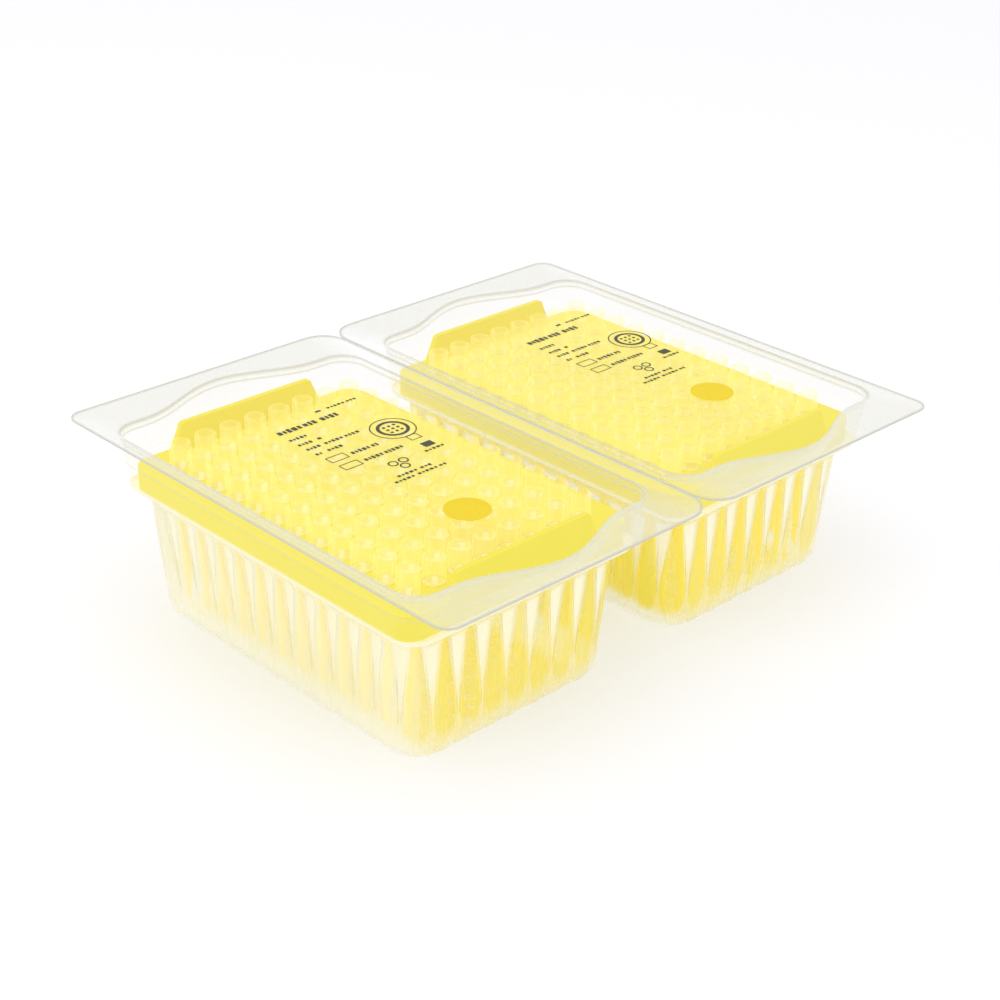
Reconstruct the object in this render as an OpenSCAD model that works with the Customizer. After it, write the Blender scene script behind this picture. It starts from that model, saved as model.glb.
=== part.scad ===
// Twin refill pack of pipette tips. Two clear thermoformed cups share one flange, which is
// perforated along the line between them. Each cup holds a tip rack on a ledge, and the rack
// carries tips in rows of twelve. A sealed film closes each cup.
// +X runs along a row of tips, +Y from the front cup to the rear cup, +Z up.
// The origin is at the middle of the pack, on the surface that it stands on.

/* [Tips] */
// Spacing of the tips, both ways
tip_pitch = 9; // [8.8:0.1:9.2]
// Tips in a row
tip_columns = 12; // [8:1:12]
// Length of a tip
tip_length = 51.5; // [46:0.5:54]
// Diameter of the collar at the top of a tip
tip_collar_d = 6.4; // [6.2:0.1:7.2]
// Height of the collar, down to the shoulder that sits on the rack
tip_collar_h = 7.6; // [6:0.2:9]
// Diameter of the tip just under its shoulder
tip_body_d = 5.4; // [5:0.1:5.7]
// Length of the upper, nearly straight part under the shoulder
tip_body_h = 15; // [10:1:20]
// Diameter at the lower end of that part
tip_waist_d = 4.3; // [3.8:0.1:4.6]
// Diameter at the very end
tip_end_d = 1.3; // [1.2:0.1:1.8]
// Bore at the very end
tip_bore_d = 0.6; // [0.4:0.1:0.8]
// Wall of a tip
tip_wall = 0.5; // [0.3:0.05:0.55]

/* [Rack] */
// Length of the rack, along its rows
rack_length = 121.2; // [118:0.2:126]
// Width of the rack, across its rows
rack_width = 84; // [81:0.5:88]
// Corner radius of the rack
rack_corner_r = 6.5; // [4:0.5:8]
// Thickness of the plate that carries the tips
rack_plate_t = 1.8; // [1.2:0.1:2.6]
// Height of the skirt, from the top of the plate to its foot
rack_skirt_h = 7.2; // [5:0.2:9]
// Wall of the skirt
rack_wall = 1.5; // [1:0.1:2]
// Play of a tip in its hole, on the diameter
hole_play = 0.4; // [0.2:0.05:0.6]
// How far the top of the raised end wall stands above the tips
end_wall_proud = 0.3; // [0:0.1:0.8]
// Length of the top edge of the end wall
end_wall_top_w = 49; // [40:1:54]
// Length of the foot of the end wall
end_wall_foot_w = 55; // [55:1:64]
// Thickness of the end wall
end_wall_t = 1.8; // [1.2:0.1:2.4]
// Roundness of its upper corners
end_wall_corner_r = 1.6; // [1:0.2:3]

/* [Cup] */
// Thickness of the formed sheet
sheet_t = 0.5; // [0.4:0.05:0.6]
// Free height over the tips, under the film
head_room = 2; // [1.2:0.1:4]
// Free height between the ends of the tips and the floor
foot_room = 3.8; // [2:0.2:6]
// Play between the sides of the rack and the upper wall
side_play = 0.7; // [0.3:0.1:1.2]
// Play between the ends of the rack and the upper wall
end_play = 2.8; // [1:0.1:3.4]
// How far the ledge reaches under the sides of the rack
ledge_side = 1.9; // [1.2:0.1:3]
// How far the ledge reaches under the ends of the rack
ledge_end = 0.6; // [0.4:0.1:2]
// Slope of the lower wall along the sides, degrees
side_draft = 5; // [3:0.2:6]
// Slope of the lower wall at the ends, degrees
end_draft = 3.4; // [2:0.2:5]
// Corner radius of the lower wall
body_corner_r = 9.5; // [8:0.5:12]
// Roundness between wall and floor
floor_round = 3; // [2:0.5:4]
// Corner radius of the upper wall, at the ledge
seat_corner_r = 7; // [5:0.5:9]
// Corner radius of the rim
rim_corner_r = 8; // [6:0.5:10]
// How far the upper wall leans out at the sides, from ledge to rim
side_lean = 1.4; // [0.8:0.1:2.4]
// How far the upper wall leans out at the ends, from ledge to rim
end_lean = 2.6; // [1.6:0.2:4]

/* [Finger recess] */
// Depth of the recess under the flange
recess_depth = 9; // [6:0.5:12]
// How far the recess swells past the end of the cup
recess_reach = 9.3; // [6:0.1:11]
// How far the wall of the recess leans out, from its shelf to the rim
recess_lean = 1; // [0.6:0.2:2]
// Width of the swelling
recess_w = 64; // [50:1:70]

/* [Flutes] */
// Spacing of the flutes round the wall
flute_pitch = 9.2; // [8:0.2:10.5]
// Share of the spacing that the face of a flute takes at its top
flute_share = 0.6; // [0.5:0.02:0.66]
// Share of the spacing that the slope beside the face takes
flute_slope = 0.07; // [0.05:0.01:0.1]
// Plain band between the ledge and the flutes
flute_drop = 3.4; // [2:0.2:5]
// Height of the slope at the top of a flute
flute_cap = 1.6; // [1:0.2:2.4]
// Height over the floor where the flutes run out
flute_end_h = 12.5; // [9:0.5:18]
// Depth of the scallops that the flutes leave round the floor
scallop = 0.35; // [0.2:0.05:0.5]

/* [Flange] */
// Width of the flange outside the cups
flange_side = 3.7; // [3:0.1:7]
// Half the width of the flange between the cups, up to the perforation
flange_joint = 5.2; // [4:0.2:8]
// Width of the flange at the ends, measured beside the recess
flange_end = 15.9; // [13:0.1:20]
// Corner radius of the flange on the outside
flange_outer_r = 5; // [3:0.5:8]
// Corner radius of the flange at the perforation, which makes the notch
flange_notch_r = 9; // [5:0.5:11]
// Roundness of the rim
rim_round = 0.8; // [0.4:0.1:1.2]
// Width of the cut between the two halves of the flange
perforation_gap = 0.5; // [0.3:0.1:0.8]
// Bridges left across the cut
bridge_count = 9; // [9:2:13]
// Length of a bridge along the cut
bridge_w = 4; // [2.5:0.5:6]
// How far a bridge reaches into the sheet on both sides
bridge_overlap = 0.6; // [0.4:0.1:0.8]

/* [Film] */
// Thickness of the sealed film
film_t = 0.25; // [0.15:0.05:0.4]
// How far the film stays back from the edge of the flange
film_inset = 1; // [0.2:0.1:1.5]
// Diameter of the indicator dot
dot_d = 13.2; // [8:0.2:18]
// Thickness of the indicator dot
dot_t = 0.12; // [0.08:0.02:0.3]
// Place of the front dot along the cup
dot_front_x = 39.5; // [20:0.5:50]
// Place of the rear dot along the cup
dot_rear_x = 32.5; // [20:0.5:50]
// Place of the front dot across the cup
dot_front_y = -1.5; // [-20:0.5:20]
// Place of the rear dot across the cup
dot_rear_y = 6; // [-20:0.5:20]

/* [Hidden] */

tip_rows = 8;
front = -1;
rear = 1;
round_fn = 48;
edge = 0.01;

// Rack
rack_hx = rack_length / 2;
rack_hy = rack_width / 2;

// Heights, from the floor up
flange_z = sheet_t + foot_room + tip_length + head_room;
tip_top_z = flange_z - head_room;
plate_z = tip_top_z - tip_collar_h;
ledge_z = plate_z - rack_skirt_h;
recess_z = flange_z - recess_depth;
shelf_fall = 0.4;
shoulder_z = ledge_z - flute_drop;
flute_z = shoulder_z - flute_cap;
end_wall_z = tip_top_z + end_wall_proud;

// Inner faces of the cup, as half lengths along X and Y
ledge_hx = rack_hx - ledge_end;
ledge_hy = rack_hy - ledge_side;
seat_hx = rack_hx + end_play;
seat_hy = rack_hy + side_play;
rim_hx = seat_hx + end_lean;
rim_hy = seat_hy + side_lean;
lean_share = (recess_z - ledge_z) / (flange_z - ledge_z);
step_hx = seat_hx + lean_share * end_lean;
step_hy = seat_hy + lean_share * side_lean;

// Flange, as half lengths. The outside and the joint lie at different distances from the cup.
flange_hx = rim_hx + rim_round + flange_end;
outer_hy = rim_hy + rim_round + flange_side;
joint_hy = rim_hy + rim_round + flange_joint;
cup_offset = joint_hy + perforation_gap / 2;

// The flutes are spread evenly along the wall, with one in the middle of each long side and a
// rib in the middle of each short side, so a quarter of the wall holds a half flute more.
function quarter(hx, hy, r) = hx + hy - 2 * r + PI * r / 2;
quarter_flutes = round(quarter(ledge_hx, ledge_hy, body_corner_r) / flute_pitch - 0.5) + 0.5;

// A point on a rounded rectangle, at a distance along it from the middle of its front side.
// Inset moves the point inwards, square to the wall.
function quarter_point(along, hx, hy, r, inset) =
    let (arc = PI * r / 2, past = along - (hx - r))
    past < 0 ? [along, inset - hy] :
    past > arc ? [hx - inset, r - hy + past - arc] :
    let (turn = past / arc * 90)
    [hx - r + (r - inset) * sin(turn), r - hy - (r - inset) * cos(turn)];

function wall_point(along, hx, hy, r, inset) =
    let (length = quarter(hx, hy, r))
    let (lap = (along + 4 * length) % (4 * length))
    let (part = floor(lap / length), rest = lap - part * length)
    let (p = quarter_point(part % 2 == 0 ? rest : length - rest, hx, hy, r, inset))
    part == 0 ? p : part == 1 ? [p[0], -p[1]] : part == 2 ? [-p[0], -p[1]] : [-p[0], p[1]];

// A level of the lower wall is [height, half length X, half length Y, corner radius,
// half of the face and half of the mouth of a flute as shares of its spacing, depth of the flute].
function wall_ring(level) =
    let (hx = level[1], hy = level[2], r = level[3])
    let (pitch = quarter(hx, hy, r) / quarter_flutes)
    [for (i = [0 : 4 * quarter_flutes - 1], k = [0 : 3])
        let (reach = (k == 0 || k == 3 ? level[5] : level[4]) * (k < 2 ? -1 : 1))
        let (p = wall_point((i + reach) * pitch, hx, hy, r, k == 0 || k == 3 ? 0 : level[6]))
        [p[0], p[1], level[0]]];

function wall_level(z, face, mouth, depth) =
    let (drop = ledge_z - z)
    [z, ledge_hx - drop * tan(end_draft), ledge_hy - drop * tan(side_draft), body_corner_r,
        face, mouth, depth];

// The faces of the flutes stand upright, and run out where the sloping wall meets them
flute_face = flute_share / 2;
flute_mouth = flute_face + flute_slope;
flute_depth = (flute_z - flute_end_h) * tan((side_draft + end_draft) / 2);
scallop_face = 0.28;
scallop_mouth = 0.42;
tail_face = 0.04;
tail_mouth = 0.08;
floor_level = wall_level(sheet_t + floor_round, scallop_face, scallop_mouth, scallop);
wall_levels = [
    [sheet_t, floor_level[1] - floor_round, floor_level[2] - floor_round,
        body_corner_r - floor_round / 2, scallop_face, scallop_mouth, scallop / 2],
    floor_level,
    wall_level(flute_end_h, tail_face, tail_mouth, scallop / 4),
    wall_level(flute_z, flute_face, flute_mouth, flute_depth),
    wall_level(shoulder_z, flute_face, flute_mouth, 0),
    wall_level(ledge_z - sheet_t / 2, flute_face, flute_mouth, 0)];

// How far the outer face drops under each inner level, in sheets
wall_drop = [1, 0.5, 0, 0.5, 0.5, 0];

// The outer face of the sheet: a wall grows by its thickness, and a flute gets narrower by
// that share of it
closing_share = 0.7;
function outer_level(level, grow, drop) =
    let (closing = closing_share * sheet_t * level[6] / flute_depth / flute_pitch)
    [level[0] - drop * sheet_t, level[1] + grow, level[2] + grow, level[3] + grow,
        level[4] - closing, level[5] - closing, level[6]];

// Faces between rings of n points each, from the first ring to the last. The rings of the outer
// face start at the turn, and their faces are split along the same diagonals as the inner ones.
function band_faces(n, count, turn) =
    [for (k = [0 : count - 2], i = [0 : n - 1])
        let (j = (i + 1) % n, a = k * n, b = (k + 1) * n)
        each k < turn
            ? [[a + i, b + j, b + i], [a + i, a + j, b + j]]
            : [[a + i, a + j, b + i], [a + j, b + j, b + i]]];

module lower_cup() {
    last = len(wall_levels) - 1;
    outer_levels = [for (i = [last : -1 : 0])
        outer_level(wall_levels[i], i == 0 ? 0 : sheet_t, wall_drop[i])];
    rings = [for (level = concat(wall_levels, outer_levels)) wall_ring(level)];
    n = len(rings[0]);
    top = (len(rings) - 1) * n;
    floors = [[for (i = [n - 1 : -1 : 0]) i], [for (i = [0 : n - 1]) top + i]];
    polyhedron(points = [for (ring = rings) each ring],
        faces = concat(band_faces(n, len(rings), last), floors), convexity = 12);
}

// Ring of the upper wall: rounded corners, and ends that swell where the fingers go in
corner_steps = 8;
swell_steps = 16;

function swell(y, reach) = reach * (1 + cos(360 * y / recess_w)) / 2;

function end_points(side, hx, straight, reach) =
    [for (k = [0 : swell_steps])
        let (y = side * min(recess_w, straight - 1) * (k / swell_steps - 0.5))
        [side * (hx + swell(y, reach)), y]];

function corner_points(x, y, r, start) =
    [for (k = [0 : corner_steps])
        let (turn = start + 90 * k / corner_steps)
        [x - sign(x) * r + r * cos(turn), y - sign(y) * r + r * sin(turn)]];

// A level of the upper wall is [height, half length X, reach to the outside, reach to the
// joint, corner radius outside, corner radius at the joint, swelling]
function upper_ring(level) =
    let (hx = level[1], out = level[2], joint = level[3])
    let (straight = 2 * (out - level[4]))
    let (flat = concat(end_points(1, hx, straight, level[6]),
        corner_points(hx, joint, level[5], 0),
        corner_points(-hx, joint, level[5], 90),
        end_points(-1, hx, straight, level[6]),
        corner_points(-hx, -out, level[4], 180),
        corner_points(hx, -out, level[4], 270)))
    [for (p = flat) [p[0], p[1], level[0]]];

function even_level(z, hx, hy, r, reach) = [z, hx, hy, hy, r, r, reach];

function grown(level, grow, drop) =
    [level[0] - drop, level[1] + grow, level[2] + grow, level[3] + grow,
        level[4] + grow, level[5] + grow, level[6]];

module upper_cup() {
    half = sheet_t / 2;
    ledge = even_level(ledge_z, ledge_hx + half, ledge_hy + half, body_corner_r + half, 0);
    seat = even_level(ledge_z, seat_hx, seat_hy, seat_corner_r, 0);
    step = even_level(recess_z - shelf_fall, step_hx, step_hy, seat_corner_r, 0);
    shelf = even_level(recess_z, step_hx + edge, step_hy + edge, seat_corner_r,
        recess_reach - recess_lean);
    low_rim = even_level(flange_z - rim_round, rim_hx, rim_hy, rim_corner_r, recess_reach);
    rim = even_level(flange_z, rim_hx + rim_round, rim_hy + rim_round,
        rim_corner_r + rim_round, recess_reach);
    flange = [flange_z, flange_hx, outer_hy, joint_hy, flange_outer_r, flange_notch_r, 0];
    inner = [ledge, seat, step, shelf, low_rim, rim, flange];
    outer = [grown(flange, 0, sheet_t), grown(rim, half, sheet_t), grown(low_rim, sheet_t, half / 2),
        grown(shelf, sheet_t, sheet_t), grown(step, sheet_t, sheet_t),
        grown(seat, sheet_t, sheet_t), grown(ledge, 0, sheet_t), ledge];
    rings = [for (level = concat(inner, outer)) upper_ring(level)];
    n = len(rings[0]);
    total = n * (len(rings) - 1);
    loops = band_faces(n, len(rings), len(inner) - 1);
    polyhedron(points = [for (k = [0 : len(rings) - 2]) each rings[k]],
        faces = [for (f = loops) [for (i = f) i % total]], convexity = 12);
}

module cup() {
    lower_cup();
    upper_cup();
}

module place_cup(side) {
    translate([0, side * cup_offset, 0]) children();
}

// A short tab with round ends that crosses the cut
module bridge() {
    end_r = perforation_gap / 2 + bridge_overlap;
    hull()
        for (s = [-1, 1])
            translate([s * (bridge_w / 2 - end_r), 0, flange_z - 0.75 * sheet_t])
                cylinder(r = end_r, h = sheet_t / 2, $fn = 24);
}

module bridges() {
    spacing = 2 * (flange_hx - flange_notch_r - bridge_w) / (bridge_count - 1);
    for (i = [0 : bridge_count - 1])
        translate([(i - (bridge_count - 1) / 2) * spacing, 0, 0]) bridge();
}

module twin_tray() {
    color([0.9, 0.94, 0.95, 0.45]) {
        place_cup(front) cup();
        place_cup(rear) mirror([0, 1, 0]) cup();
        bridges();
    }
}

module rounded_sheet(hx, hy, r, height) {
    linear_extrude(height) {
        square([2 * hx, 2 * (hy - r)], center = true);
        square([2 * (hx - r), 2 * hy], center = true);
        for (sx = [-1, 1], sy = [-1, 1])
            translate([sx * (hx - r), sy * (hy - r)]) circle(r, $fn = round_fn);
    }
}

// Outline of the flange of the front cup, less a margin
module flange_outline(margin) {
    out = outer_hy - margin;
    joint = joint_hy - margin;
    hx = flange_hx - margin;
    outer_r = flange_outer_r - margin;
    notch_r = flange_notch_r - margin;
    square_y = out - outer_r + joint - notch_r;
    translate([-hx, outer_r - out]) square([2 * hx, square_y]);
    translate([outer_r - hx, -out]) square([2 * (hx - outer_r), outer_r + edge]);
    translate([notch_r - hx, joint - notch_r - edge])
        square([2 * (hx - notch_r), notch_r + edge]);
    for (s = [-1, 1]) {
        translate([s * (hx - outer_r), outer_r - out]) circle(outer_r, $fn = round_fn);
        translate([s * (hx - notch_r), joint - notch_r]) circle(notch_r, $fn = round_fn);
    }
}

module lid_film(side) {
    color([0.95, 0.97, 1, 0.3])
        place_cup(side)
            mirror([0, side == rear ? 1 : 0, 0])
                translate([0, 0, flange_z])
                    linear_extrude(film_t) flange_outline(film_inset);
}

module indicator_dot(side) {
    place_x = side == front ? dot_front_x : dot_rear_x;
    place_y = side == front ? dot_front_y : dot_rear_y;
    color([1, 0.72, 0.1])
        place_cup(side)
            translate([place_x, place_y, flange_z + film_t])
                cylinder(d = dot_d, h = dot_t, $fn = round_fn);
}

module end_wall() {
    wall_h = end_wall_z - plate_z;
    corner = end_wall_corner_r;
    foot = end_wall_foot_w / 2;
    top = end_wall_top_w / 2;
    sink = rack_plate_t / 2;
    rotate([90, 0, 90]) {
        linear_extrude(end_wall_t) {
            polygon([[-foot, -sink], [foot, -sink], [foot, 0], [top, wall_h - corner],
                [top - corner, wall_h], [corner - top, wall_h], [-top, wall_h - corner],
                [-foot, 0]]);
            for (s = [-1, 1])
                translate([s * (top - corner), wall_h - corner])
                    circle(corner, $fn = round_fn);
        }
    }
}

module tip_rack(side) {
    hole_d = tip_body_d + hole_play;
    color([1, 0.87, 0.1])
        place_cup(side) {
            difference() {
                translate([0, 0, ledge_z])
                    rounded_sheet(rack_hx, rack_hy, rack_corner_r, rack_skirt_h);
                translate([0, 0, ledge_z - edge])
                    rounded_sheet(rack_hx - rack_wall, rack_hy - rack_wall,
                        rack_corner_r - rack_wall, rack_skirt_h - rack_plate_t + edge);
                for (row = [0 : tip_rows - 1], column = [0 : tip_columns - 1])
                    translate([tip_x(column), tip_y(row), plate_z - rack_plate_t - edge])
                        cylinder(d = hole_d, h = rack_plate_t + 2 * edge, $fn = 32);
            }
            for (s = [0, 1])
                mirror([s, 0, 0])
                    translate([rack_hx - end_wall_t, 0, plate_z]) end_wall();
        }
}

function tip_x(column) = (column - (tip_columns - 1) / 2) * tip_pitch;
function tip_y(row) = (row - (tip_rows - 1) / 2) * tip_pitch;

// Half section of a tip, from its top at zero down to its end
module tip() {
    collar_r = tip_collar_d / 2;
    body_r = tip_body_d / 2;
    waist_r = tip_waist_d / 2;
    end_r = tip_end_d / 2;
    lip = tip_wall;
    mouth_r = body_r - tip_wall / 2;
    waist_z = -tip_collar_h - tip_body_h;
    rotate_extrude($fn = round_fn)
        polygon([[mouth_r, 0], [collar_r - lip / 2, 0], [collar_r, -lip],
            [collar_r, -tip_collar_h], [body_r, -tip_collar_h], [waist_r, waist_z],
            [end_r, -tip_length], [tip_bore_d / 2, -tip_length],
            [waist_r - tip_wall, waist_z], [body_r - tip_wall, -tip_collar_h]]);
}

module tip_row(side, number) {
    color([0.97, 0.97, 0.88, 0.7])
        place_cup(side)
            for (column = [0 : tip_columns - 1])
                translate([tip_x(column), tip_y(number - 1), tip_top_z]) tip();
}

twin_tray();
lid_film(front);  // lid_film_front
lid_film(rear);  // lid_film_rear
tip_rack(front);  // tip_rack_front
tip_rack(rear);  // tip_rack_rear
indicator_dot(front);  // indicator_dot_front
indicator_dot(rear);  // indicator_dot_rear
tip_row(front, 1);  // tip_row_front_1
tip_row(front, 2);  // tip_row_front_2
tip_row(front, 3);  // tip_row_front_3
tip_row(front, 4);  // tip_row_front_4
tip_row(front, 5);  // tip_row_front_5
tip_row(front, 6);  // tip_row_front_6
tip_row(front, 7);  // tip_row_front_7
tip_row(front, 8);  // tip_row_front_8
tip_row(rear, 1);  // tip_row_rear_1
tip_row(rear, 2);  // tip_row_rear_2
tip_row(rear, 3);  // tip_row_rear_3
tip_row(rear, 4);  // tip_row_rear_4
tip_row(rear, 5);  // tip_row_rear_5
tip_row(rear, 6);  // tip_row_rear_6
tip_row(rear, 7);  // tip_row_rear_7
tip_row(rear, 8);  // tip_row_rear_8
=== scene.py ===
import math

import bmesh
import bpy
from mathutils import Matrix, Vector


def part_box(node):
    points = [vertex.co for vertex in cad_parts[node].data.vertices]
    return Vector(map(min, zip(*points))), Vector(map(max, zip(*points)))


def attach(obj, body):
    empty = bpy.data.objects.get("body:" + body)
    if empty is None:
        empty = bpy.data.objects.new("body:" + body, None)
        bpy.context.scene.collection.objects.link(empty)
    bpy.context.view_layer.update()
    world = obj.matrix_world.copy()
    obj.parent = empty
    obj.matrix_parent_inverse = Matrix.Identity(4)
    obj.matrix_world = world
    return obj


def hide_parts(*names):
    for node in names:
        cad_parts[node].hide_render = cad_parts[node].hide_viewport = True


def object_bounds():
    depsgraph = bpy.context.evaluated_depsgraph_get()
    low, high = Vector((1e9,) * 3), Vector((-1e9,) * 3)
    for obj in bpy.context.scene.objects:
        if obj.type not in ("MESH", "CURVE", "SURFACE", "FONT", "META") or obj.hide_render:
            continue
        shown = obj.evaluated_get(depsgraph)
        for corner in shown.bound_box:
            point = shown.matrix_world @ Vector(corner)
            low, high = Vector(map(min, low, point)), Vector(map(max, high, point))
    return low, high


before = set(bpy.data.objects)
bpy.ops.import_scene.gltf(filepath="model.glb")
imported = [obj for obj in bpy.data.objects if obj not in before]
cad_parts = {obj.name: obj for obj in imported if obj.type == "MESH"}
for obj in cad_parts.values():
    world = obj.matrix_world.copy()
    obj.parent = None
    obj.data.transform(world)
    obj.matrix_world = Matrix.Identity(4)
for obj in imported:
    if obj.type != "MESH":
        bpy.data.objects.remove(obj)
cadLow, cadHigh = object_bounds()  # the solids' own box, before anything is added
mm = 0.001
print("frame loaded:", len(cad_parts), "pieces")


# Shader maths as plain expressions

class Socket:
    def __init__(self, tree, link):
        self.tree = tree
        self.link = link

    # A Math node on the values given, or on this socket alone
    def maths(self, operation, *values):
        return self.tree.add("ShaderNodeMath", {"operation": operation}, *(values or (self,)))

    def __add__(self, other):
        return self.maths("ADD", self, other)

    def __radd__(self, other):
        return self.maths("ADD", other, self)

    def __sub__(self, other):
        return self.maths("SUBTRACT", self, other)

    def __rsub__(self, other):
        return self.maths("SUBTRACT", other, self)

    def __mul__(self, other):
        return self.maths("MULTIPLY", self, other)

    def __rmul__(self, other):
        return self.maths("MULTIPLY", other, self)

    def __pow__(self, other):
        return self.maths("POWER", self, other)


class NodeTree:
    def __init__(self, name, owner=None):
        self.owner = owner or bpy.data.materials.new(name)
        self.owner.use_nodes = True
        self.nodes = self.owner.node_tree.nodes
        self.links = self.owner.node_tree.links
        self.nodes.clear()

    # One node: its settings first, then the values or links of its sockets by place or by name
    def add(self, kind, settings, *values, out=0, **named):
        node = self.nodes.new(kind)
        for key, value in settings.items():
            setattr(node, key, value)
        for key, value in [*enumerate(values), *named.items()]:
            target = node.inputs[key.replace("_", " ") if isinstance(key, str) else key]
            if isinstance(value, Socket):
                self.links.new(value.link, target)
            elif value is not None:
                target.default_value = value
        return Socket(self, node.outputs[out]) if len(node.outputs) else None

    def finish(self, surface, kind="ShaderNodeOutputMaterial"):
        self.add(kind, {}, surface)
        return self.owner

    def mixColours(self, factor, first, second):
        return self.add("ShaderNodeMix", {"data_type": "RGBA"}, factor, None, None, None,
                        None, None, first, second, out=2)

    def scaleVector(self, vector, sizes):
        return self.add("ShaderNodeVectorMath", {"operation": "MULTIPLY"}, vector, sizes)

    def place(self):
        return self.add("ShaderNodeTexCoord", {}, out=3)  # metres, in the part's own frame

    def facing(self):
        return self.add("ShaderNodeLayerWeight", {}, out=1)

    def noise(self, vector, scale, detail=2.0):
        return self.add("ShaderNodeTexNoise", {}, vector, None, scale, detail)

    # Moves a range of values to another one, and holds them inside it
    def spread(self, value, fromRange, toRange=(0.0, 1.0), shape="LINEAR"):
        return self.add("ShaderNodeMapRange", {"interpolation_type": shape}, value, *fromRange,
                        *toRange)


def grey(level):
    return (level, level, level, 1.0)


# Materials

# A clear sheet: see-through with a faint milky veil and a mirror coat, which both thicken
# where the sheet is seen along its surface. The veil's colour is painted light and shade: cream
# low in the cups for the yellow light inside them, grey higher up, with a faint painted glow.
# The mesh says where the veil is painted pale from the yellow light inside it, on the flutes
# and folds, where it is painted golden, and where a fold gets a painted grey shade line.
paintedSheetShares = ("paintedPaleShare", "paintedGoldShare", "paintedShadeLineShare")

clearSheet = {
    "haze": 0.007,
    "edge": 0.11,
    "edgePower": 3.0,
    # how strongly the mesh's painted pale light, painted golden light and painted grey shade lines
    # show
    "paintedPale": 0.80,
    "paintedGold": 0.75,
    "line": 0.75,
    # colours of the painted light and shade: golden, cream low in the cup, grey higher up, and the
    # grey of the painted shade lines
    "paintedGoldColour": (0.99, 0.81, 0.09, 1.0),
    "low": (1.0, 0.965, 0.74, 1.0),
    "high": (0.76, 0.75, 0.62, 1.0),
    "paintedLineColour": (0.60, 0.59, 0.54, 1.0),
    "turnStart": 0.046,  # metres over the floor, where the veil starts to turn grey
    "turnEnd": 0.056,
    "gilding": (0.1, 0.4),  # gold shares between which the colour turns golden
    "roughness": 0.5,
    "specular": 0.1,
    # a faint painted glow of the veil in its own colour, for the light from the yellow plastic
    # around it
    "paintedGlow": 0.16,
    "gloss": 0.10,
    "mirror": 0.012,
    "edgeMirror": 0.32,
    "edgeMirrorPower": 5.0,
    "waves": (110.0, 110.0, 7.0),
    "waveScale": 3.0,
    "waveHeight": 0.0006,
    "waveStrength": 0.2,
    "streakRange": (0.32, 0.68),
    "streakStrength": (0.35, 1.65),
}

# The film is the same plastic, plainer and thinner, with no painted light or shade shares in its
# mesh
clearFilm = {
    **clearSheet,
    "haze": 0.012,
    "edge": 0.06,
    "edgePower": 2.0,
    "paintedPale": 0.0,
    "line": 0.0,
    "paintedGold": 0.0,
    "low": (0.95, 0.95, 0.92, 1.0),
    "high": (0.90, 0.90, 0.88, 1.0),
    "turnStart": 0.0,
    "turnEnd": 0.05,
    "paintedGlow": 0.0,
    "gloss": 0.12,
    "mirror": 0.008,
    "waves": (25.0, 25.0, 25.0),
    "waveHeight": 0.0004,
}


# 0 under the first height and 1 over the second
def heightShare(tree, low, high):
    z = tree.add("ShaderNodeSeparateXYZ", {}, tree.place(), out=2)
    return tree.spread(z, (low, high), shape="SMOOTHSTEP")


def sheetMaterial(name, look):
    tree = NodeTree(name)
    facing = tree.facing()
    edge = facing ** look["edgePower"]
    waves = tree.noise(tree.scaleVector(tree.place(), look["waves"]), look["waveScale"], 0.0)
    # Painted light and shade: the veil turns from cream below to grey above, and the mesh's shares
    # paint it pale, golden in uneven streaks, and with grey shade lines
    rise = heightShare(tree, look["turnStart"], look["turnEnd"])
    paintedPale, paintedGold, line = [tree.add("ShaderNodeAttribute", {"attribute_name": mark}, out=2)
                        for mark in paintedSheetShares]
    gilt = tree.spread(paintedGold, look["gilding"])
    streaks = tree.spread(waves, look["streakRange"], look["streakStrength"])
    colour = tree.mixColours(rise, look["low"], look["high"])
    colour = tree.mixColours(gilt, colour, look["paintedGoldColour"])
    colour = tree.mixColours(line, colour, look["paintedLineColour"])
    # the veil glows in its own colour, a painted light
    veil = tree.add("ShaderNodeBsdfPrincipled", {}, Base_Color=colour,
                    Roughness=look["roughness"], Specular_IOR_Level=look["specular"],
                    Emission_Color=colour, Emission_Strength=look["paintedGlow"])
    clear = tree.add("ShaderNodeBsdfTransparent", {}, grey(1.0))
    cover = (look["haze"] + look["edge"] * edge + look["paintedPale"] * paintedPale + look["line"] * line
             + look["paintedGold"] * paintedGold * streaks)
    body = tree.add("ShaderNodeMixShader", {}, cover, clear, veil)
    bump = tree.add("ShaderNodeBump", {}, Height=waves, Strength=look["waveStrength"],
                    Distance=look["waveHeight"])
    shine = tree.add("ShaderNodeBsdfAnisotropic", {}, grey(1.0), look["gloss"], Normal=bump)
    mirror = look["mirror"] + look["edgeMirror"] * facing ** look["edgeMirrorPower"]
    return tree.finish(tree.add("ShaderNodeMixShader", {}, mirror, body, shine))


# The tips' plastic: half clear over the plate of the rack, denser below it and painted golden
# there for the yellow light of the rack. The bore leads light up from the foot, so that each
# mouth is paler inside.
tipPlastic = {
    "haze": 0.13,
    "edge": 0.36,
    "edgePower": 2.0,
    "lowHaze": 0.42,
    "turnStart": 0.040,  # metres over the floor
    "turnEnd": 0.047,
    "base": (0.94, 0.83, 0.22, 1.0),
    "streak": (0.97, 0.89, 0.36, 1.0),
    # deep: the painted golden light of the rack, below its plate
    "deep": (0.98, 0.74, 0.06, 1.0),
    "mouth": (1.0, 0.98, 0.76, 1.0),
    "mouthStart": (0.0450, 0.0462),  # the light spots rise and fade between these heights
    "mouthEnd": (0.0478, 0.0486),
    "boreRadius": 0.00292,
    "mouthHaze": 0.46,
    "mouthWidth": (0.38, 0.86),
    "streakSizes": (150.0, 150.0, 12.0),
    "streakScale": 3.0,
    "streakRange": (0.4, 0.65),
    "roughness": 0.25,
    "paintedGlow": 0.33,
}

tipsInRow = 12


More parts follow.
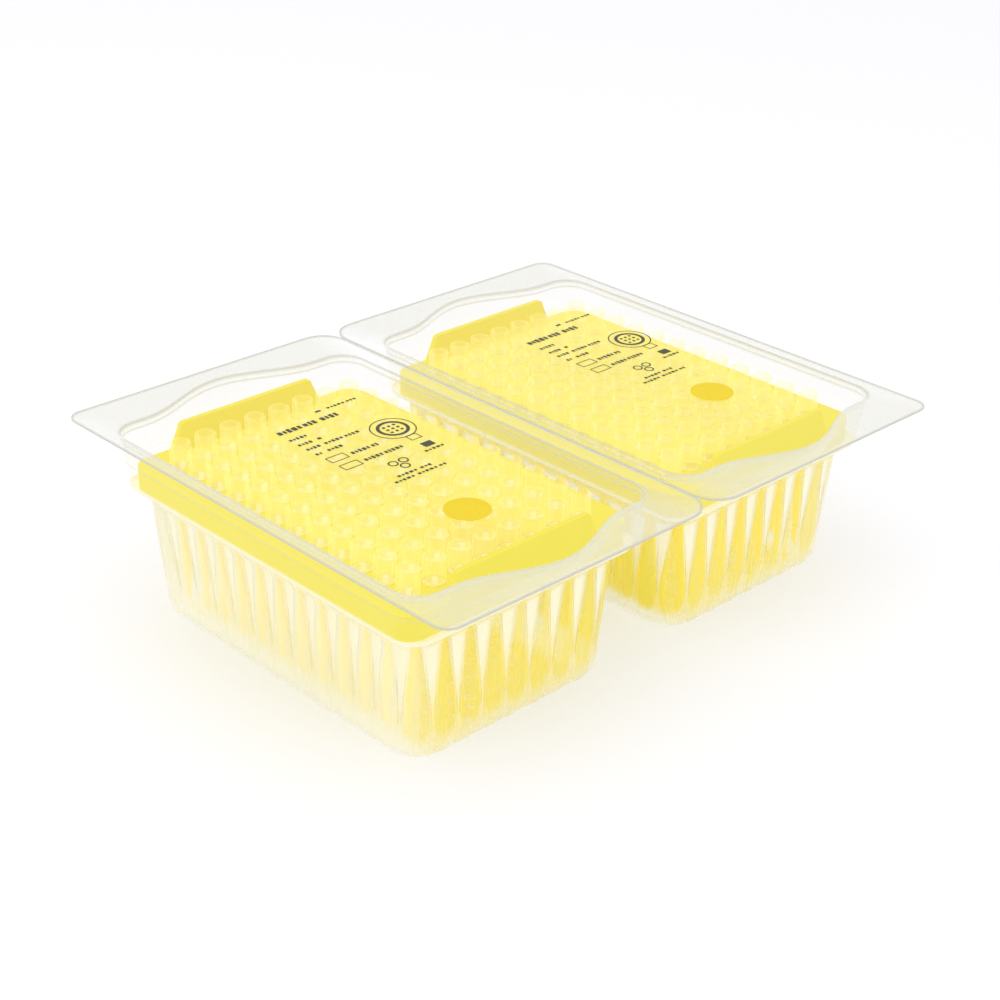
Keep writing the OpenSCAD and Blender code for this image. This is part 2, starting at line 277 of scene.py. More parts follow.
# Over 0 inside the collars only: each point is set against the axis of the nearest tip, and
# the light gathers in four soft spots round the bore
def boreShare(tree):
    rowLow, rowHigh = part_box("tip_row_front_1")
    collar = rowHigh.y - rowLow.y
    pitch = (rowHigh.x - rowLow.x - collar) / (tipsInRow - 1)
    start = (rowLow.x + collar / 2, (rowLow.y + rowHigh.y) / 2, 0.0)
    middle = (0.5, 0.5, 0.0)
    shifted = tree.add("ShaderNodeVectorMath", {"operation": "SUBTRACT"}, tree.place(), start)
    share = tree.scaleVector(shifted, (1 / pitch, 1 / pitch, 0.0))
    half = tree.add("ShaderNodeVectorMath", {"operation": "ADD"}, share, middle)
    cell = tree.add("ShaderNodeVectorMath", {"operation": "FRACTION"}, half)
    away = tree.add("ShaderNodeVectorMath", {"operation": "DISTANCE"}, cell, middle, out=1)
    bore = tipPlastic["boreRadius"] / pitch
    inside = tree.add("ShaderNodeMath", {"operation": "LESS_THAN"}, away, bore)
    offset = tree.add("ShaderNodeVectorMath", {"operation": "SUBTRACT"}, cell, middle)
    dx = tree.add("ShaderNodeSeparateXYZ", {}, offset, out=0)
    dy = tree.add("ShaderNodeSeparateXYZ", {}, offset, out=1)
    diagonal = (dx * dy * (2 / bore ** 2)).maths("ABSOLUTE")
    return inside * tree.spread(diagonal, tipPlastic["mouthWidth"], shape="SMOOTHSTEP")


def tipMaterial():
    look = tipPlastic
    tree = NodeTree("tipNatural")
    edge = tree.facing() ** look["edgePower"]
    below = 1 - heightShare(tree, look["turnStart"], look["turnEnd"])
    streaks = tree.noise(tree.scaleVector(tree.place(), look["streakSizes"]),
                         look["streakScale"], 0.0)
    streaks = tree.spread(streaks, look["streakRange"])
    mouth = (boreShare(tree) * heightShare(tree, *look["mouthStart"])
             * (1 - heightShare(tree, *look["mouthEnd"])))
    colour = tree.mixColours(streaks, look["base"], look["streak"])
    colour = tree.mixColours(below, colour, look["deep"])
    colour = tree.mixColours(mouth, colour, look["mouth"])
    # the plastic glows in its own colour, a painted light; its colour is painted golden below the
    # plate and painted pale in the mouths
    plastic = tree.add("ShaderNodeBsdfPrincipled", {}, Base_Color=colour,
                       Roughness=look["roughness"], Emission_Color=colour,
                       Emission_Strength=look["paintedGlow"])
    clear = tree.add("ShaderNodeBsdfTransparent", {}, grey(1.0))
    cover = (look["haze"] + look["edge"] * edge + look["lowHaze"] * below
             + look["mouthHaze"] * mouth)
    return tree.finish(tree.add("ShaderNodeMixShader", {}, cover, clear, plastic))


rackPlastic = {
    "base": (0.96, 0.84, 0.028, 1.0),
    "deep": (0.95, 0.80, 0.014, 1.0),
    "cloudSizes": (40.0, 40.0, 90.0),
    "cloudScale": 2.0,
    "grainSizes": (900.0, 900.0, 900.0),
    "grainScale": 3.0,
    "grainHeight": 0.0002,
    "grainStrength": 0.08,
    "roughness": 0.5,
    "specular": 0.12,
    "paintedGlow": 0.09,  # light that comes up through the plastic
}


def rackMaterial():
    look = rackPlastic
    tree = NodeTree("rackYellow")
    cloud = tree.noise(tree.scaleVector(tree.place(), look["cloudSizes"]), look["cloudScale"])
    grain = tree.noise(tree.scaleVector(tree.place(), look["grainSizes"]), look["grainScale"],
                       1.0)
    colour = tree.mixColours(cloud, look["base"], look["deep"])
    bump = tree.add("ShaderNodeBump", {}, Height=grain, Strength=look["grainStrength"],
                    Distance=look["grainHeight"])
    # The rack glows a little in its own colour: painted light for the light that comes up through
    # the plastic
    return tree.finish(tree.add(
        "ShaderNodeBsdfPrincipled", {}, Base_Color=colour, Roughness=look["roughness"],
        Specular_IOR_Level=look["specular"], Emission_Color=colour,
        Emission_Strength=look["paintedGlow"], Normal=bump))


# Inks: the orange of the dots and the worn black of the printed marks
dotInk = {
    "name": "dotOrange",
    "first": (1.0, 0.72, 0.02, 1.0),
    "second": (1.0, 0.78, 0.04, 1.0),
    "sizes": (300.0, 300.0, 300.0),
    "roughness": 0.6,
    "specular": 0.2,
}

markInk = {
    "name": "printInk",
    "first": (0.025, 0.025, 0.02, 1.0),
    "second": (0.10, 0.09, 0.05, 1.0),
    "sizes": (1200.0, 1200.0, 1200.0),
    "roughness": 0.6,
    "specular": 0.5,
}

inkScale = 2.0
inkDetail = 3.0


def inkMaterial(look):
    tree = NodeTree(look["name"])
    wear = tree.noise(tree.scaleVector(tree.place(), look["sizes"]), inkScale, inkDetail)
    colour = tree.mixColours(wear, look["first"], look["second"])
    return tree.finish(tree.add(
        "ShaderNodeBsdfPrincipled", {}, Base_Color=colour, Roughness=look["roughness"],
        Specular_IOR_Level=look["specular"]))


sheetClear = sheetMaterial("sheetClear", clearSheet)
filmClear = sheetMaterial("filmClear", clearFilm)
tipNatural = tipMaterial()
rackYellow = rackMaterial()
dotOrange = inkMaterial(dotInk)
inkBlack = inkMaterial(markInk)
print("materials made")


# Clear plastic casts no shadow and isn't seen in the shine of the rest
def dress(obj, material, clear=False):
    obj.data.materials.clear()
    obj.data.materials.append(material)
    obj.visible_shadow = obj.visible_diffuse = obj.visible_glossy = not clear


for name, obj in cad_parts.items():
    if name.startswith("tip_row"):
        dress(obj, tipNatural, clear=True)
    elif name.startswith("tip_rack"):
        dress(obj, rackYellow)
    elif name.startswith("lid_film"):
        dress(obj, filmClear, clear=True)
    elif name.startswith("indicator_dot"):
        dress(obj, dotOrange)
    else:
        dress(obj, sheetClear, clear=True)


def placeObject(name, mesh, material, clear=False):
    obj = bpy.data.objects.new(name, mesh)
    bpy.context.scene.collection.objects.link(obj)
    dress(obj, material, clear)
    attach(obj, "root")
    return obj


# The formed sheet: two fluted cups on one flange, drawn as rings from the floor up to the
# edge of the flange. All sizes in mm. Places come from the solids of the racks and the tray.

sheetShape = {
    "thickness": 0.5,
    "ledgeUnderEnd": 0.6,
    "ledgeUnderSide": 1.9,
    "endPlay": 2.8,
    "sidePlay": 0.7,
    "endLean": 2.6,
    "sideLean": 1.4,
    "endDraft": 3.4,  # degrees
    "sideDraft": 5.0,
    "bodyCorner": 9.5,
    "seatCorner": 7.0,
    "rimCorner": 8.0,
    "outerCorner": 5.0,
    "notchCorner": 9.0,
    "recessDepth": 9.0,
    "recessReach": 9.3,
    "recessWidth": 64.0,
    "recessShelf": 1.0,  # how far the shelf stays back from the full reach
    "recessBand": 2.0,  # how far inside the end wall the swelling takes hold
    "cutGap": 0.5,
    "flutesPerQuarter": 10.5,
    "faceShare": 0.30,
    "mouthShare": 0.37,
    "bandHeight": 3.4,  # plain band under the ledge
    "slopeHeight": 1.6,
    "fluteEnd": 12.5,
    "runShares": (0.04, 0.08),  # face and mouth where the flutes run out
    "scallop": 0.35,
    "scallopShares": (0.28, 0.42),
    "floorInset": 10.0,
    "floorCorner": 2.0,
    "lip": 0.9,
    "sharpAngle": 50.0,
    "tabs": 9,
    "tabLength": 4.0,
}

# Folds: the shares of the way to the level before and after at which the rounding starts and
# ends, and its steps
sheetFolds = {
    "floor": (0.3, 0.25, 4),
    "run": (0.12, 0.05, 1),
    "fluteTop": (0.03, 0.4, 2),
    "shoulder": (0.35, 0.2, 1),
    "ledge": (0.25, 0.25, 2),
    "seat": (0.25, 0.12, 2),
    "step": (0.12, 0.1, 2),
    "shelf": (0.12, 0.14, 2),
    "rim": (0.11, 0.08, 5),
}

# Levels between the folds, as shares of the way from one to the next, where the painted light and
# shade settle
sheetBetween = {
    "foot": 0.6,
    "flutes": (0.25, 0.5, 0.75),
    "band": 0.6,
    "ledge": 0.5,
    "step": 0.2,
    "secondLine": (0.68, 0.74, 0.8),  # before, on and after it, from the shelf up
    "rim": 0.15,
}

# How much painted pale light and painted golden light each part of the sheet gets, and how strong
# the painted grey shade lines of its folds are
sheetPaintedLightShade = {
    "floor": 0.42,
    "floorGold": 0.35,
    "floorEdge": 0.40,
    "sideWall": 0.32,
    "endWall": 0.08,
    "sideGold": 0.05,
    "endGold": 0.38,
    "jointGold": 0.50,
    "footGold": 0.25,
    "flute": 0.78,
    "fold": 0.80,
    "ledge": 0.30,
    "upperWall": 0.06,
    "recess": 0.10,
    "sideFlange": 0.20,
    "endFlange": 0.27,
    "jointFlange": 0.0,
    "flangeLine": 0.08,
    "rimLine": 0.85,
    "rimFade": (0.1, 0.6, 1.0, 0.8, 0.3, 0.1),  # one for each step of the rim's rounding
    "secondLine": 0.50,
    "edgeLine": 0.85,
    "footFade": 0.7,
    "fluteWash": 0.85,
    "fluteLeast": 0.25,
    "sideLineShare": 0.15,
}

# Stations across one flute: place between its middle and the middle of the next rib, and
# how much of the flute's depth is reached there. Faces and mouths have softly rounded edges.
fluteStations = [("rib", 0.45, 0.0), ("mouth", 1.07, 0.0), ("mouth", 0.985, 0.13),
                 ("face", 1.03, 0.9), ("face", 0.9, 1.0), ("face", 0.45, 1.0)]


# The stations of one flute for the given shares of its face and mouth, from left to right
def stationShares(face, mouth):
    half = []
    for kind, amount, reached in fluteStations:
        if kind == "rib":
            place = mouth + (0.5 - mouth) * amount
        elif kind == "mouth":
            place = mouth * amount
        else:
            place = face * amount
        half.append((place, reached))
    left = [(-place, reached) for place, reached in half]
    return left + [(0.0, 1.0)] + half[::-1]


# A point on a quarter of the outline, and how far round the corner it is: 0 side, 1 end
def quarterPoint(share, hx, hy, r, inset):
    arc = math.pi * r / 2
    past = share * (hx + hy - 2 * r + arc) - (hx - r)
    if past < 0:
        return hx - r + past, inset - hy, 0.0
    if past > arc:
        return hx - inset, r - hy + past - arc, 1.0
    turn = past / r
    return (hx - r + (r - inset) * math.sin(turn), r - hy - (r - inset) * math.cos(turn),
            past / arc)


# One point of a ring, how far the recess swells there, and where on the cup it is
def ringPoint(flute, level, reached):
    z, hx, outer, joint, outerR, jointR, swelling, face, mouth, depth = level[:10]
    perQuarter = sheetShape["flutesPerQuarter"]
    lap = flute % (4 * perQuarter)
    part = int(lap // perQuarter)
    rest = lap - part * perQuarter
    share = (perQuarter - rest if part % 2 else rest) / perQuarter
    atJoint = part in (1, 2)
    x, y, end = quarterPoint(share, hx, joint if atJoint else outer, jointR if atJoint else outerR,
                             depth * reached)
    halfWidth = sheetShape["recessWidth"] / 2
    swell = 0.0
    if abs(y) < halfWidth and x > hx - sheetShape["recessBand"] - depth:
        swell = (1 + math.cos(math.pi * y / halfWidth)) / 2
        x += swelling * swell
    place = (x if part < 2 else -x), (-y if atJoint else y), z
    return place, (swell if swelling else 0.0), end, atJoint


# A level is a list: height, half length, half width outside and at the joint, corner radius
# outside and at the joint, swelling of the recess, face and mouth of a flute, its depth, then
# painted pale light, painted grey shade line and zone. This gives the shape a part of the way
# from one to another.
def blend(first, second, t):
    return [a + (b - a) * t for a, b in zip(first[:10], second[:10])]


# Rounds the corner that a level makes between its neighbours
def roundedLevel(before, level, after, startShare, endShare, steps):
    start = blend(level, before, startShare)
    end = blend(level, after, endShare)
    return [blend(blend(start, level, k / steps), blend(level, end, k / steps), k / steps)
            for k in range(steps + 1)]


def evenLevel(z, hx, hy, r, swelling=0.0, depth=0.0, face=None, mouth=None):
    return [z, hx, hy, hy, r, r, swelling, face or sheetShape["faceShare"],
            mouth or sheetShape["mouthShare"], depth, 0.0, 0.0, None]


# The same levels with their painted pale light, zone and painted grey shade line, or a list of
# lines, one to a level
def shaded(levels, paintedPale, line=0.0, zone=None):
    lines = line if isinstance(line, list) else [line] * len(levels)
    return [[*level[:10], paintedPale, value, zone] for level, value in zip(levels, lines)]


# All levels of a cup, from the middle of the floor to the edge of the flange
def cupLevels(rackHalf, outerHy, jointHy, flangeHx, ledgeZ, flangeZ):
    shape = sheetShape
    paintedLightShade = sheetPaintedLightShade
    between = sheetBetween
    endTan = math.tan(math.radians(shape["endDraft"]))
    sideTan = math.tan(math.radians(shape["sideDraft"]))
    ledgeHx = rackHalf[0] - shape["ledgeUnderEnd"]
    ledgeHy = rackHalf[1] - shape["ledgeUnderSide"]
    seatHx = rackHalf[0] + shape["endPlay"]
    seatHy = rackHalf[1] + shape["sidePlay"]
    recessZ = flangeZ - shape["recessDepth"]
    lean = (recessZ - ledgeZ) / (flangeZ - ledgeZ)
    fluteTop = ledgeZ - shape["bandHeight"] - shape["slopeHeight"]
    meanTan = math.tan(math.radians((shape["endDraft"] + shape["sideDraft"]) / 2))
    depth = (fluteTop - shape["fluteEnd"]) * meanTan

    def wall(z, **more):
        drop = ledgeZ - z
        return evenLevel(z, ledgeHx - drop * endTan, ledgeHy - drop * sideTan,
                         shape["bodyCorner"], **more)

    def fold(before, level, after, name):
        return roundedLevel(before, level, after, *sheetFolds[name])

    scallopFace, scallopMouth = shape["scallopShares"]
    floorEdge = wall(shape["thickness"], depth=shape["scallop"], face=scallopFace,
                     mouth=scallopMouth)
    floorEdge[4] = floorEdge[5] = shape["bodyCorner"] - shape["thickness"]
    inner = [floorEdge[0], *[v - shape["floorInset"] for v in floorEdge[1:4]],
             shape["floorCorner"], shape["floorCorner"], 0.0, scallopFace, scallopMouth, 0.0]
    runFace, runMouth = shape["runShares"]
    run = wall(shape["fluteEnd"], depth=shape["scallop"] / 4, face=runFace, mouth=runMouth)
    top = wall(fluteTop, depth=depth)
    shoulder = wall(ledgeZ - shape["bandHeight"])
    ledge = wall(ledgeZ)
    seat = evenLevel(ledgeZ, seatHx, seatHy, shape["seatCorner"])
    step = evenLevel(recessZ, seatHx + lean * shape["endLean"], seatHy + lean * shape["sideLean"],
                     shape["seatCorner"])
    shelf = list(step)
    shelf[6] = shape["recessReach"] - shape["recessShelf"]
    rim = evenLevel(flangeZ, seatHx + shape["endLean"], seatHy + shape["sideLean"],
                    shape["rimCorner"], swelling=shape["recessReach"])
    flange = [flangeZ, flangeHx, outerHy, jointHy, shape["outerCorner"], shape["notchCorner"],
              0.0, shape["faceShare"], shape["mouthShare"], 0.0]
    lip = [flangeZ, *[v - shape["lip"] for v in flange[1:5]], *flange[5:]]

    walls = [blend(floorEdge, run, between["foot"]), *fold(floorEdge, run, top, "run"),
             *[blend(run, top, t) for t in between["flutes"]],
             *fold(run, top, shoulder, "fluteTop"), *fold(top, shoulder, ledge, "shoulder"),
             blend(shoulder, ledge, between["band"])]
    # Each group of levels gets its painted pale light and painted grey shade lines
    levels = shaded([inner], paintedLightShade["floor"], zone="floor")
    levels += shaded(fold(inner, floorEdge, run, "floor"), paintedLightShade["floorEdge"], zone="foot")
    levels += shaded(walls, 0.0, zone="wall")
    levels += shaded(fold(shoulder, ledge, seat, "ledge"), paintedLightShade["fold"])
    levels += shaded([blend(ledge, seat, between["ledge"])], paintedLightShade["ledge"])
    levels += shaded(fold(ledge, seat, step, "seat"), paintedLightShade["fold"])
    levels += shaded([blend(seat, step, between["step"]), *fold(seat, step, shelf, "step"),
                      *fold(step, shelf, rim, "shelf")], paintedLightShade["upperWall"])
    levels += shaded([blend(shelf, rim, t) for t in between["secondLine"]],
                     paintedLightShade["upperWall"], [0.0, paintedLightShade["secondLine"], 0.0])
    levels += shaded(fold(shelf, rim, flange, "rim"), 0.0,
                     [paintedLightShade["rimLine"] * v for v in paintedLightShade["rimFade"]], "flange")
    levels += shaded([blend(rim, lip, between["rim"]), lip], 0.0, 0.0, "flange")
    levels += shaded([flange], 0.0, paintedLightShade["edgeLine"], "flange")
    return levels


# How much painted pale light, painted golden light and painted grey shade line one point of the
# sheet gets
def pointShades(level, reached, deepest, swell, end, atJoint):
    paintedLightShade = sheetPaintedLightShade
    paintedPale, line, zone = level[10:]
    paintedGold = paintedLightShade["floorGold"] if zone == "floor" else 0.0
    if zone == "foot":
        paintedGold = paintedLightShade["footGold"] * end
        paintedPale *= 1 - paintedLightShade["footFade"] * end
    if zone == "wall":
        flute = 0.0
        if level[9]:
            flute = reached * min(1.0, level[9] / deepest + paintedLightShade["fluteLeast"])
        paintedPale = paintedLightShade["sideWall"] + (paintedLightShade["endWall"] - paintedLightShade["sideWall"]) * end
        paintedPale = max(paintedPale, paintedLightShade["flute"] * flute)
        sideGold = paintedLightShade["jointGold"] if atJoint else paintedLightShade["sideGold"]
        paintedGold = sideGold + (paintedLightShade["endGold"] - sideGold) * end
        paintedGold *= 1 - paintedLightShade["fluteWash"] * flute
    if zone == "flange":
        side = paintedLightShade["jointFlange"] if atJoint else paintedLightShade["sideFlange"]
        paintedPale = side + (paintedLightShade["endFlange"] - side) * end
        least = paintedLightShade["sideLineShare"]
        line = max(line, paintedLightShade["flangeLine"] * (least + (1 - least) * end))
    return max(paintedPale, paintedLightShade["recess"] * swell), paintedGold, line


# One cup: side is -1 for the front one and 1 for the rear one, which is its mirror image
def cupMesh(levels, side, centreY):
    verts, shades = [], []
    deepest = max(level[9] for level in levels)
    for level in levels:
        for k in range(round(4 * sheetShape["flutesPerQuarter"])):
            for share, reached in stationShares(level[7], level[8]):
                (x, y, z), swell, end, atJoint = ringPoint(k + share, level, reached)
                verts.append((x * mm, (centreY - side * y) * mm, z * mm))
                shades.append(pointShades(level, reached, deepest, swell, end, atJoint))
    count = len(verts) // len(levels)
    faces = []
    for ring in range(len(levels) - 1):
        for i in range(count):
            j = (i + 1) % count
            a, b = ring * count, (ring + 1) * count
            face = (a + i, a + j, b + j, b + i)
            faces.append(face if side < 0 else face[::-1])
    faces.append(tuple(range(count)) if side > 0 else tuple(range(count))[::-1])
    return verts, faces, shades


# The short tabs that still hold the two halves together across the cut
def tabMesh(flangeHx, flangeZ):
    verts, faces = [], []
    number = sheetShape["tabs"]
    spacing = 2 * (flangeHx - sheetShape["notchCorner"] - sheetShape["tabLength"]) / (number - 1)
    for k in range(number):
        x = (k - (number - 1) / 2) * spacing
        half = sheetShape["tabLength"] / 2
        start = len(verts)
        for px, py in ((-half, -1), (half, -1), (half, 1), (-half, 1)):
            verts.append(((x + px) * mm, py * sheetShape["cutGap"] / 2 * mm, flangeZ * mm))
        faces.append(tuple(range(start, start + 4))[::-1])
    return verts, faces


def makeTray():
    rackLow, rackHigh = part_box("tip_rack_front")
    trayLow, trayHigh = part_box("twin_tray")
    gap = sheetShape["cutGap"] / 2
    rackHalf = [(rackHigh.x - rackLow.x) / 2 / mm, (rackHigh.y - rackLow.y) / 2 / mm]
    centreY = (rackLow.y + rackHigh.y) / 2 / mm
    outerHy = centreY - trayLow.y / mm
    levels = cupLevels(rackHalf, outerHy, -centreY - gap, trayHigh.x / mm, rackLow.z / mm,
                       trayHigh.z / mm)
    verts, faces, shades = [], [], []
    for side in (-1, 1):
        cup = cupMesh(levels, side, -side * centreY)
        faces += [tuple(i + len(verts) for i in face) for face in cup[1]]
        verts += cup[0]
        shades += cup[2]
    tabs = tabMesh(trayHigh.x / mm, trayHigh.z / mm)
    faces += [tuple(i + len(verts) for i in face) for face in tabs[1]]
    verts += tabs[0]
    # the tabs get the side flange's painted pale light and half the edge's painted shade line
    shades += [(sheetPaintedLightShade["sideFlange"], 0.0, sheetPaintedLightShade["edgeLine"] / 2)] * len(tabs[0])
    mesh = bpy.data.meshes.new("formedSheet")
    mesh.from_pydata(verts, [], faces)
    # the painted light and shade shares go on the mesh as attributes, which the sheet's material
    # reads
    for k, name in enumerate(paintedSheetShares):
        layer = mesh.attributes.new(name, "FLOAT", "POINT")
        layer.data.foreach_set("value", [paintedLightShade[k] for paintedLightShade in shades])
    obj = placeObject("formed_sheet", mesh, sheetClear, clear=True)
    wall = obj.modifiers.new("wall", "SOLIDIFY")
    wall.thickness = sheetShape["thickness"] * mm
    wall.offset = 1.0
    for face in mesh.polygons:
        face.use_smooth = True
    mesh.set_sharp_from_angle(angle=math.radians(sheetShape["sharpAngle"]))
    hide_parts("twin_tray")
    print("formed sheet:", len(faces), "faces")


makeTray()


# Printed marks on the film: rows of short bars, a ring round a field of dots, a square and a
# few small rings, as thin flat pieces that lie on the film. Places in mm from the middle of
# the cup; the rows run along y.

printShape = {
    "lift": 0.01,
    "skin": 0.03,
    # each row: its x, where it starts and ends along y, how tall its bars are, and their length
    "rows": [(-35.6, 10.8, 22.4, 1.2, 1.0), (-35.6, 6.4, 8.4, 1.2, 2.0),
             (-30.6, -11.3, 2.6, 2.5, 1.4), (-30.6, 4.4, 10.6, 2.5, 1.4),
             (-25.0, -11.5, -4.4, 1.5, 0.9), (-20.9, -11.5, -6.2, 1.5, 0.9),
             (-20.9, -4.6, -3.0, 1.5, 1.2), (-17.2, -11.5, -6.0, 1.5, 0.9),
             (-17.2, -5.0, 7.9, 1.5, 1.0), (-13.1, -11.5, -8.8, 1.5, 0.9),
             (-13.1, -7.2, -1.6, 1.5, 1.0), (-7.2, -3.4, 6.8, 1.8, 1.0),
             (-1.4, -3.4, 10.6, 1.8, 1.0), (5.6, 13.0, 20.0, 1.2, 1.1),
             (12.6, -3.4, 4.0, 1.2, 1.1), (12.6, 5.0, 9.4, 1.2, 1.1),
             (15.0, -6.4, 0.8, 1.2, 1.1), (15.0, 2.0, 12.4, 1.2, 1.1)],
    # shares of a row's length and height that every bar has, and what is added unevenly
    "barLength": (0.7, 0.6),
    "barHeight": (0.75, 0.25),
    "leastBar": 0.3,
    "wordBars": 5,  # bars before a wider gap
    "gap": 0.45,
    # frames: x, y, their size along x and y, and the width of the line
    "frames": [(-7.6, -8.2, 3.6, 6.4, 0.35), (-1.6, -8.2, 3.6, 6.4, 0.35),
               (-3.8, 17.0, 3.4, 4.0, 0.35)],
    # rings: x, y, outer and inner radius
    "rings": [(-12.0, 16.2, 7.0, 6.6), (-12.0, 16.2, 5.0, 3.9), (5.6, 1.0, 1.6, 1.1),
              (5.6, 4.8, 1.6, 1.1), (8.6, 2.9, 1.6, 1.1)],
    "ringSteps": 40,
    "square": (2.3, 17.0, 3.0, 3.8),
    "rounding": 0.2,  # of the square in mm, and of bars and lines as a share of their width
    "dotField": 3,
    "dotPitch": 1.9,
    "dotRadii": (0.55, 0.05),
    "dotSteps": 16,
    "rearShift": (-0.5, 2.3),
}


# A flat bar with rounded corners
def addBar(bm, x, y, wide, high, rounding):
    z = printShape["lift"]
    points = []
    corners = [(1, 1, 0), (-1, 1, 90), (-1, -1, 180), (1, -1, 270)]
    for sx, sy, start in corners:
        for k in range(3):
            turn = math.radians(start + 45 * k)
            points.append((x + sx * (wide / 2 - rounding) + rounding * math.cos(turn),
                           y + sy * (high / 2 - rounding) + rounding * math.sin(turn)))
    low = [bm.verts.new((px, py, z)) for px, py in points]
    top = [bm.verts.new((px, py, z + printShape["skin"])) for px, py in points]
    bm.faces.new(top)
    bm.faces.new(low[::-1])
    for i in range(len(low)):
        j = (i + 1) % len(low)
        bm.faces.new((low[i], low[j], top[j], top[i]))


def addRing(bm, x, y, outer, inner, steps):
    z = printShape["lift"]
    loops = []
    for radius, height in ((outer, z), (outer, z + printShape["skin"]),
                           (inner, z + printShape["skin"]), (inner, z)):
        loops.append([bm.verts.new((x + radius * math.cos(2 * math.pi * k / steps),
                                    y + radius * math.sin(2 * math.pi * k / steps), height))
                      for k in range(steps)])
    for first, second in zip(loops, loops[1:] + loops[:1]):
        for i in range(steps):
            j = (i + 1) % steps
            bm.faces.new((first[i], first[j], second[j], second[i]))


# Bars of uneven length that fill a row, so that it reads as a line of print from afar
def addRow(bm, x, start, end, high, length):
    y, k = start, 0
    leastLength, moreLength = printShape["barLength"]
    leastHeight, moreHeight = printShape["barHeight"]
    wordBars = printShape["wordBars"]
    while y < end - printShape["leastBar"]:
        bar = min(length * (leastLength + moreLength * ((k * 7 + 3) % 5) / 5), end - y)
        tall = high * (leastHeight + moreHeight * ((k * 3 + 1) % 4) / 3)
        addBar(bm, x, y + bar / 2, tall, bar, min(bar, tall) * printShape["rounding"])
        y += bar + printShape["gap"] * (2 if k % wordBars == wordBars - 1 else 1)
        k += 1


def addFrame(bm, x, y, wide, high, line):
    rounding = line * printShape["rounding"]
    for side in (-1, 1):
        addBar(bm, x + side * (wide - line) / 2, y, line, high, rounding)
        addBar(bm, x, y + side * (high - line) / 2, wide - 2 * line, line, rounding)


def makePrint(name, film, shift):
    low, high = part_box(film)
    bm = bmesh.new()
    for row in printShape["rows"]:
        addRow(bm, *row)
    for item in printShape["frames"]:
        addFrame(bm, *item)
    for item in printShape["rings"]:
        addRing(bm, *item, printShape["ringSteps"])
    addBar(bm, *printShape["square"], printShape["rounding"])
    ringX, ringY = printShape["rings"][0][:2]
    half = (printShape["dotField"] - 1) / 2
    for i in range(printShape["dotField"]):
        for j in range(printShape["dotField"]):
            addRing(bm, ringX + (i - half) * printShape["dotPitch"],
                    ringY + (j - half) * printShape["dotPitch"], *printShape["dotRadii"],
                    printShape["dotSteps"])
    mesh = bpy.data.meshes.new(name)
    bm.to_mesh(mesh)
    bm.free()
    place = Vector(((low.x + high.x) / 2 + shift[0] * mm, (low.y + high.y) / 2 + shift[1] * mm,
                    high.z))
    mesh.transform(Matrix.Translation(place) @ Matrix.Scale(mm, 4))
    return placeObject(name, mesh, inkBlack)


makePrint("print_front", "lid_film_front", (0.0, 0.0))
makePrint("print_rear", "lid_film_rear", printShape["rearShift"])
print("printed marks made")


# Stage: floor, world and lamps

stageLook = {
    "floorSide": 8.0,
    "floorDrop": 0.0002,
    "floorColour": (0.97, 0.97, 0.97, 1.0),
    "floorLift": (0.15, 0.15, 0.20, 1.0),
    "floorRoughness": 0.9,
    "floorSpecular": 0.2,
    "worldLevel": 0.80,
    "lampSide": 0.9,
    "lampTarget": (0.0, 0.0, 0.03),
    # lamps: name, place in metres and power
    "lamps": [("keyLamp", (-0.35, -0.55, 0.95), 1.5), ("fillLamp", (0.75, 0.25, 0.8), 0.75)],
}


# Rays that meet a thing straight from the camera, in a mirror or through a clear sheet
def directRays(tree):
    rays = tree.nodes.new("ShaderNodeLightPath")
    seen, mirrored, passing = [Socket(tree, rays.outputs[name]) for name in
                               ("Is Camera Ray", "Is Glossy Ray", "Is Transmission Ray")]
    either = tree.add("ShaderNodeMath", {"operation": "MAXIMUM"}, mirrored, passing)
    return tree.add("ShaderNodeMath", {"operation": "MAXIMUM"}, seen, either)


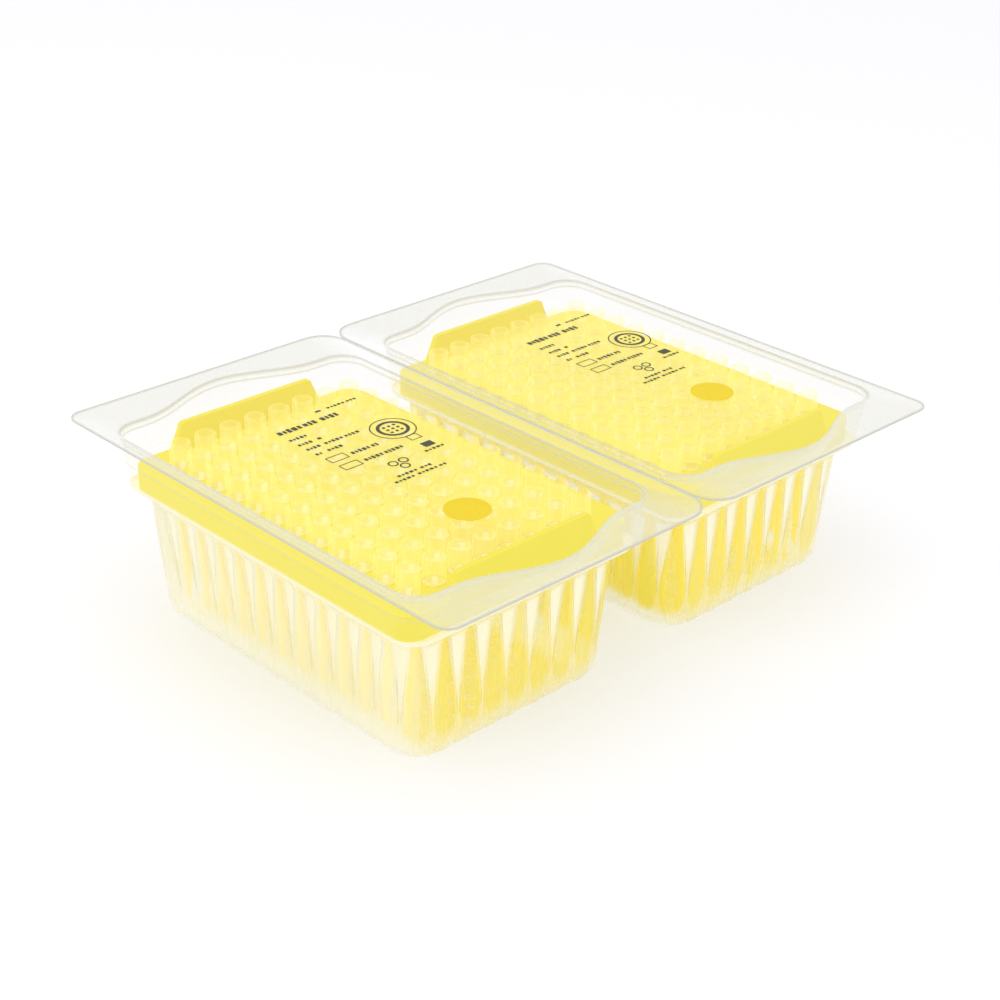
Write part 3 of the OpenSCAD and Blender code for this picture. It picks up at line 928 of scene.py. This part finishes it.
def makeStage():
    side = stageLook["floorSide"] / 2
    mesh = bpy.data.meshes.new("floor")
    corners = [(-side, -side, 0), (side, -side, 0), (side, side, 0), (-side, side, 0)]
    mesh.from_pydata(corners, [], [(0, 1, 2, 3)])
    floor = bpy.data.objects.new("floor", mesh)
    bpy.context.scene.collection.objects.link(floor)
    floor.location.z = cadLow.z - stageLook["floorDrop"]
    tree = NodeTree("floorWhite")
    # Seen straight on, the floor is lifted to the white of the backdrop and keeps its shadow
    lift = tree.mixColours(directRays(tree), grey(0.0), stageLook["floorLift"])
    paper = tree.add("ShaderNodeBsdfPrincipled", {}, Base_Color=stageLook["floorColour"],
                     Roughness=stageLook["floorRoughness"],
                     Specular_IOR_Level=stageLook["floorSpecular"], Emission_Color=lift,
                     Emission_Strength=1.0)
    dress(floor, tree.finish(paper))

    world = bpy.data.worlds.new("studio")
    bpy.context.scene.world = world
    sky = NodeTree("studio", world)
    soft = sky.add("ShaderNodeBackground", {}, grey(1.0), stageLook["worldLevel"])
    white = sky.add("ShaderNodeBackground", {}, grey(1.0), 1.0)
    sky.finish(sky.add("ShaderNodeMixShader", {}, directRays(sky), soft, white),
               "ShaderNodeOutputWorld")


def makeLamp(name, place, power):
    data = bpy.data.lights.new(name, "AREA")
    data.shape = "SQUARE"
    data.size = stageLook["lampSide"]
    data.energy = power
    lamp = bpy.data.objects.new(name, data)
    bpy.context.scene.collection.objects.link(lamp)
    lamp.location = place
    aim = Vector(stageLook["lampTarget"]) - Vector(place)
    lamp.rotation_euler = aim.to_track_quat("-Z", "Y").to_euler()


makeStage()
for lampRow in stageLook["lamps"]:
    makeLamp(*lampRow)

# Camera: azimuth and height of the view, its roll, and where it stands from the rims

cameraLook = {
    "azimuth": 45.64,
    "elevation": 27.22,
    "roll": 1.16,
    "place": (375.18, -367.98, 240.33),  # mm, from the middle of the flange
    "lens": 70.0,
    "sensor": 36.0,
}


def makeCamera():
    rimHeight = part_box("twin_tray")[1].z
    turn = math.radians(cameraLook["azimuth"])
    rise = math.radians(cameraLook["elevation"])
    roll = math.radians(cameraLook["roll"])
    back = Vector((math.sin(turn) * math.cos(rise), -math.cos(turn) * math.cos(rise),
                   math.sin(rise)))
    right = Vector((math.cos(turn), math.sin(turn), 0.0))
    up = back.cross(right)
    rolledRight = math.cos(roll) * right + math.sin(roll) * up
    rolledUp = math.cos(roll) * up - math.sin(roll) * right
    data = bpy.data.cameras.new("camera")
    data.lens = cameraLook["lens"]
    data.sensor_width = cameraLook["sensor"]
    camera = bpy.data.objects.new("camera", data)
    bpy.context.scene.collection.objects.link(camera)
    axes = Matrix((rolledRight, rolledUp, back)).transposed()
    place = Vector(cameraLook["place"]) * mm + Vector((0, 0, rimHeight))
    camera.matrix_world = Matrix.Translation(place) @ axes.to_4x4()
    bpy.context.scene.camera = camera


makeCamera()
bpy.context.scene.view_settings.view_transform = "Standard"
bpy.context.scene.cycles.transparent_max_bounces = 32  # many clear walls stand one behind another
bpy.context.scene.cycles.diffuse_bounces = 2
bpy.context.scene.cycles.glossy_bounces = 2
print("stage, lamps and camera set")
